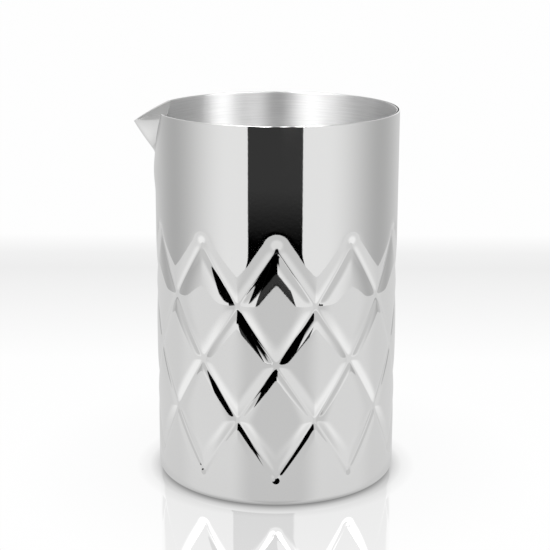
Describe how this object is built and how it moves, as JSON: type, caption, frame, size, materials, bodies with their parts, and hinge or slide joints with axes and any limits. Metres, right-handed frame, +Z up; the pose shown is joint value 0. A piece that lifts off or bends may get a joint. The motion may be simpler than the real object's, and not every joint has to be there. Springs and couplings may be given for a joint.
{
  "type": "mixing glass",
  "caption": "Double-wall steel bar mixing vessel: straight cylinder with a folded V pouring spout, a mirror outside pressed with a diamond lattice and a smooth brushed inner cup.",
  "frame": {"origin": "centre of the foot, on the plane the vessel stands on", "axes": "+Z up along the vessel's axis, spout towards -X, a column of diamonds faces -Y"},
  "size_m": [0.0977, 0.0902, 0.1385],
  "materials": {
    "polished_steel": "mirror-polished stainless sheet",
    "brushed_steel": "fine turned lines round the axis",
    "spout_steel": "polished outside, satin inside",
    "getter_metal": "sintered, matt, hidden",
    "seal_solder": "solidified drop of solder, hidden",
    "base_steel": "turned satin"
  },
  "bodies": {
    "root": {"outer_shell": "polished_steel", "inner_cup": "brushed_steel", "pouring_spout": "spout_steel", "base_cap": "polished_steel", "getter_pellet": "getter_metal", "vacuum_seal_bead": "seal_solder", "base_cover": "base_steel"}
  },
  "joints": []
}
